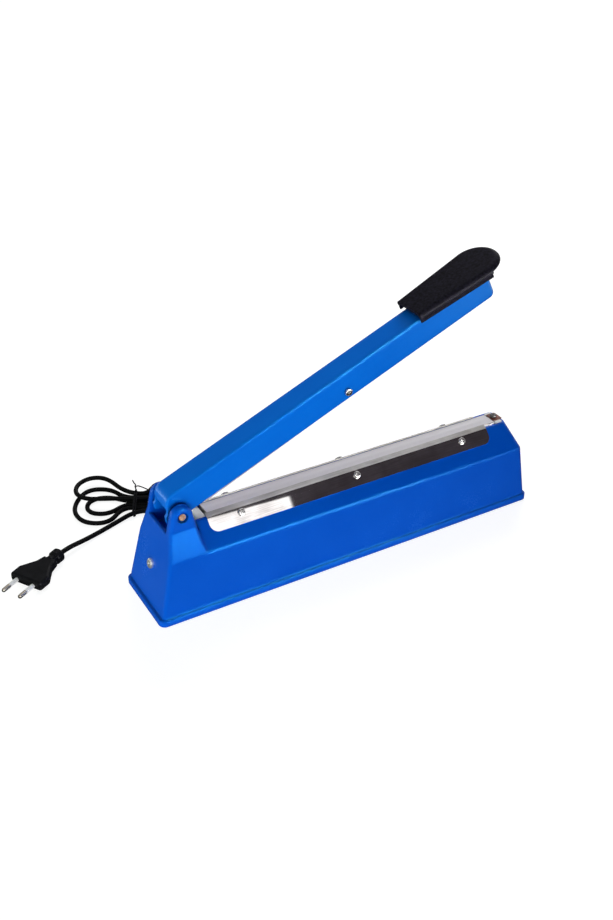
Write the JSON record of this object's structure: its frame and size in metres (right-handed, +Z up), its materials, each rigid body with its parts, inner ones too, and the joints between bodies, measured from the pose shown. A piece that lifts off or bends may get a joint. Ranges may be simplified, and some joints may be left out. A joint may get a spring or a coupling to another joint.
{
  "type": "impulse heat sealer",
  "caption": "Tabletop bag sealer: a hollow ridged base with a heated bar, a spring-lifted channel arm with flat grip and press strip, a back timer knob and a tied mains cord with plug.",
  "frame": {"origin": "on the bench plane under the middle of the base's foot rim", "axes": "+X along the base from the hinge end to the handle end, +Y to the back where timer and cord are, +Z up"},
  "size_m": [0.5046, 0.2493, 0.2614],
  "materials": {
    "blue_shell": "glossy blue",
    "black_plastic": "fine texture",
    "polished_steel": "mirror polish",
    "screw_steel": "nickel plated",
    "pin_metal": "tarnished",
    "bar_aluminium": "extruded",
    "cloth": "coated glass cloth",
    "tape": "woven tape",
    "ribbon": "bare strip",
    "white_block": "moulded",
    "brown_block": "moulded",
    "silicone": "matt",
    "spring_steel": "drawn wire",
    "zinc_sheet": "zinc plated",
    "foot_rubber": "matt",
    "core_iron": "varnished stack",
    "coil_tape": "wrapped",
    "board": "fibre board",
    "lamp_red": "clear red",
    "cord_black": "satin",
    "tie_black": "coated wire",
    "prong_brass": "nickel plated"
  },
  "bodies": {
    "base": {"base_housing": "blue_shell", "hinge_pin": "pin_metal", "hinge_spacers": "white_block", "seal_bar": "bar_aluminium", "insulating_tape": "tape", "sealing_cloth": "cloth", "heating_ribbon": "ribbon", "left_terminal_block": "white_block", "right_terminal_block": "brown_block", "terminal_washer": "screw_steel", "terminal_screw": "screw_steel", "front_clamp_plate": "polished_steel", "front_clamp_screws": "screw_steel", "rear_clamp_plate": "polished_steel", "rear_clamp_screws": "screw_steel", "micro_switch": "black_plastic", "switch_bracket": "zinc_sheet", "return_spring": "spring_steel", "bottom_plate": "zinc_sheet", "bottom_screws": "screw_steel", "rubber_feet": "foot_rubber", "transformer_core": "core_iron", "transformer_coil": "coil_tape", "transformer_strap": "zinc_sheet", "transformer_screws": "screw_steel", "board_standoffs": "white_block", "timer_board": "board", "timer_relay": "black_plastic", "board_terminals": "board", "board_capacitors": "black_plastic", "timer_potentiometer": "zinc_sheet", "potentiometer_nut": "screw_steel", "pilot_lamp": "lamp_red", "cord_strain_relief": "cord_black", "end_screw": "polished_steel", "cord_hank": "cord_black", "cord_tie": "tie_black", "cord_base_lead": "cord_black", "plug_body": "cord_black", "plug_prongs": "prong_brass", "prong_sleeves": "white_block", "cord_plug_lead": "cord_black"},
    "arm": {"arm_channel": "blue_shell", "handle_grip": "black_plastic", "grip_screws": "screw_steel", "pivot_screw": "screw_steel", "pivot_nut": "screw_steel", "pivot_spacers": "white_block", "actuator_stud": "screw_steel"},
    "press_bar": {"press_bar_holder": "bar_aluminium", "silicone_strip": "silicone"},
    "knob": {"timer_knob": "black_plastic", "knob_shaft": "screw_steel"},
    "push_rod": {"switch_push_rod": "white_block"}
  },
  "joints": [
    {"name": "arm_hinge", "type": "hinge", "parent": "base", "child": "arm", "pos_m": [-0.16713, 0, 0.0965], "axis": [0, -1, 0], "range_deg": [-22.75, 0], "stiffness_Nm_per_rad": 0.5, "springref_deg": 80.21, "deforming": ["return_spring"]},
    {"name": "press_bar_pivot", "type": "hinge", "parent": "arm", "child": "press_bar", "pos_m": [-0.00006, 0, 0.16613], "axis": [0, -1, 0], "range_deg": [-0.6, 0]},
    {"name": "timer_turn", "type": "hinge", "parent": "base", "child": "knob", "pos_m": [0.14, 0.03497, 0.034], "axis": [0, -0.9952, -0.0975], "range_deg": [0, 270]},
    {"name": "push_rod_slide", "type": "slide", "parent": "base", "child": "push_rod", "axis": [0, 0, 1], "range_m": [-0.002, 0], "stiffness_N_per_m": 300, "springref_m": 0.002}
  ],
  "couplings": [
    {"joint": "press_bar_pivot", "follows": "arm_hinge", "ratio": 0.02637}
  ]
}
